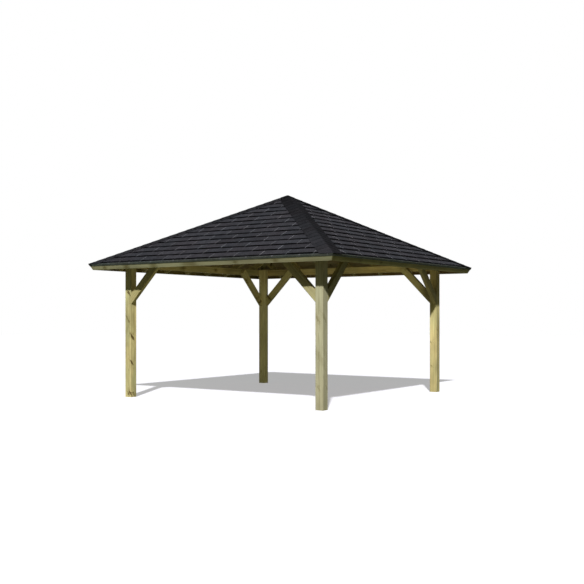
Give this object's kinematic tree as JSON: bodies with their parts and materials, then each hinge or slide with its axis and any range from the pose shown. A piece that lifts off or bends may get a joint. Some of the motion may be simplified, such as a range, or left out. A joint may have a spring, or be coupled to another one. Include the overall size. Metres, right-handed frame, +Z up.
{
  "type": "garden gazebo",
  "caption": "Open square timber gazebo: posts with knee braces carry a beam ring and a shallow hip roof of rafters and boards, covered with grey bitumen shingles and hip caps.",
  "frame": {"origin": "on the ground at the middle of the posts", "axes": "+Z up, the front side faces -Y and the right side faces +X"},
  "size_m": [4.5486, 4.5486, 3.2857],
  "materials": {
    "post_timber": "planed, pressure treated",
    "beam_timber": "planed, pressure treated",
    "brace_timber": "planed, pressure treated",
    "rafter_timber": "planed, pressure treated",
    "fascia_board": "planed, pressure treated",
    "deck_board": "planed, pressure treated",
    "shingle": "mineral granules",
    "hip_cap": "mineral granules"
  },
  "bodies": {
    "root": {"front_right_post": "post_timber", "back_right_post": "post_timber", "back_left_post": "post_timber", "front_left_post": "post_timber", "front_beam": "beam_timber", "right_beam": "beam_timber", "back_beam": "beam_timber", "left_beam": "beam_timber", "front_side_left_brace": "brace_timber", "front_side_right_brace": "brace_timber", "right_side_front_brace": "brace_timber", "right_side_back_brace": "brace_timber", "back_side_right_brace": "brace_timber", "back_side_left_brace": "brace_timber", "left_side_back_brace": "brace_timber", "left_side_front_brace": "brace_timber", "front_right_hip_rafter": "rafter_timber", "back_right_hip_rafter": "rafter_timber", "back_left_hip_rafter": "rafter_timber", "front_left_hip_rafter": "rafter_timber", "front_common_rafter": "rafter_timber", "right_common_rafter": "rafter_timber", "back_common_rafter": "rafter_timber", "left_common_rafter": "rafter_timber", "front_jack_rafters": "rafter_timber", "right_jack_rafters": "rafter_timber", "back_jack_rafters": "rafter_timber", "left_jack_rafters": "rafter_timber", "front_fascia": "fascia_board", "right_fascia": "fascia_board", "back_fascia": "fascia_board", "left_fascia": "fascia_board", "front_roof_deck": "deck_board", "right_roof_deck": "deck_board", "back_roof_deck": "deck_board", "left_roof_deck": "deck_board", "front_shingles": "shingle", "right_shingles": "shingle", "back_shingles": "shingle", "left_shingles": "shingle", "front_right_hip_cap": "hip_cap", "back_right_hip_cap": "hip_cap", "back_left_hip_cap": "hip_cap", "front_left_hip_cap": "hip_cap"}
  },
  "joints": []
}
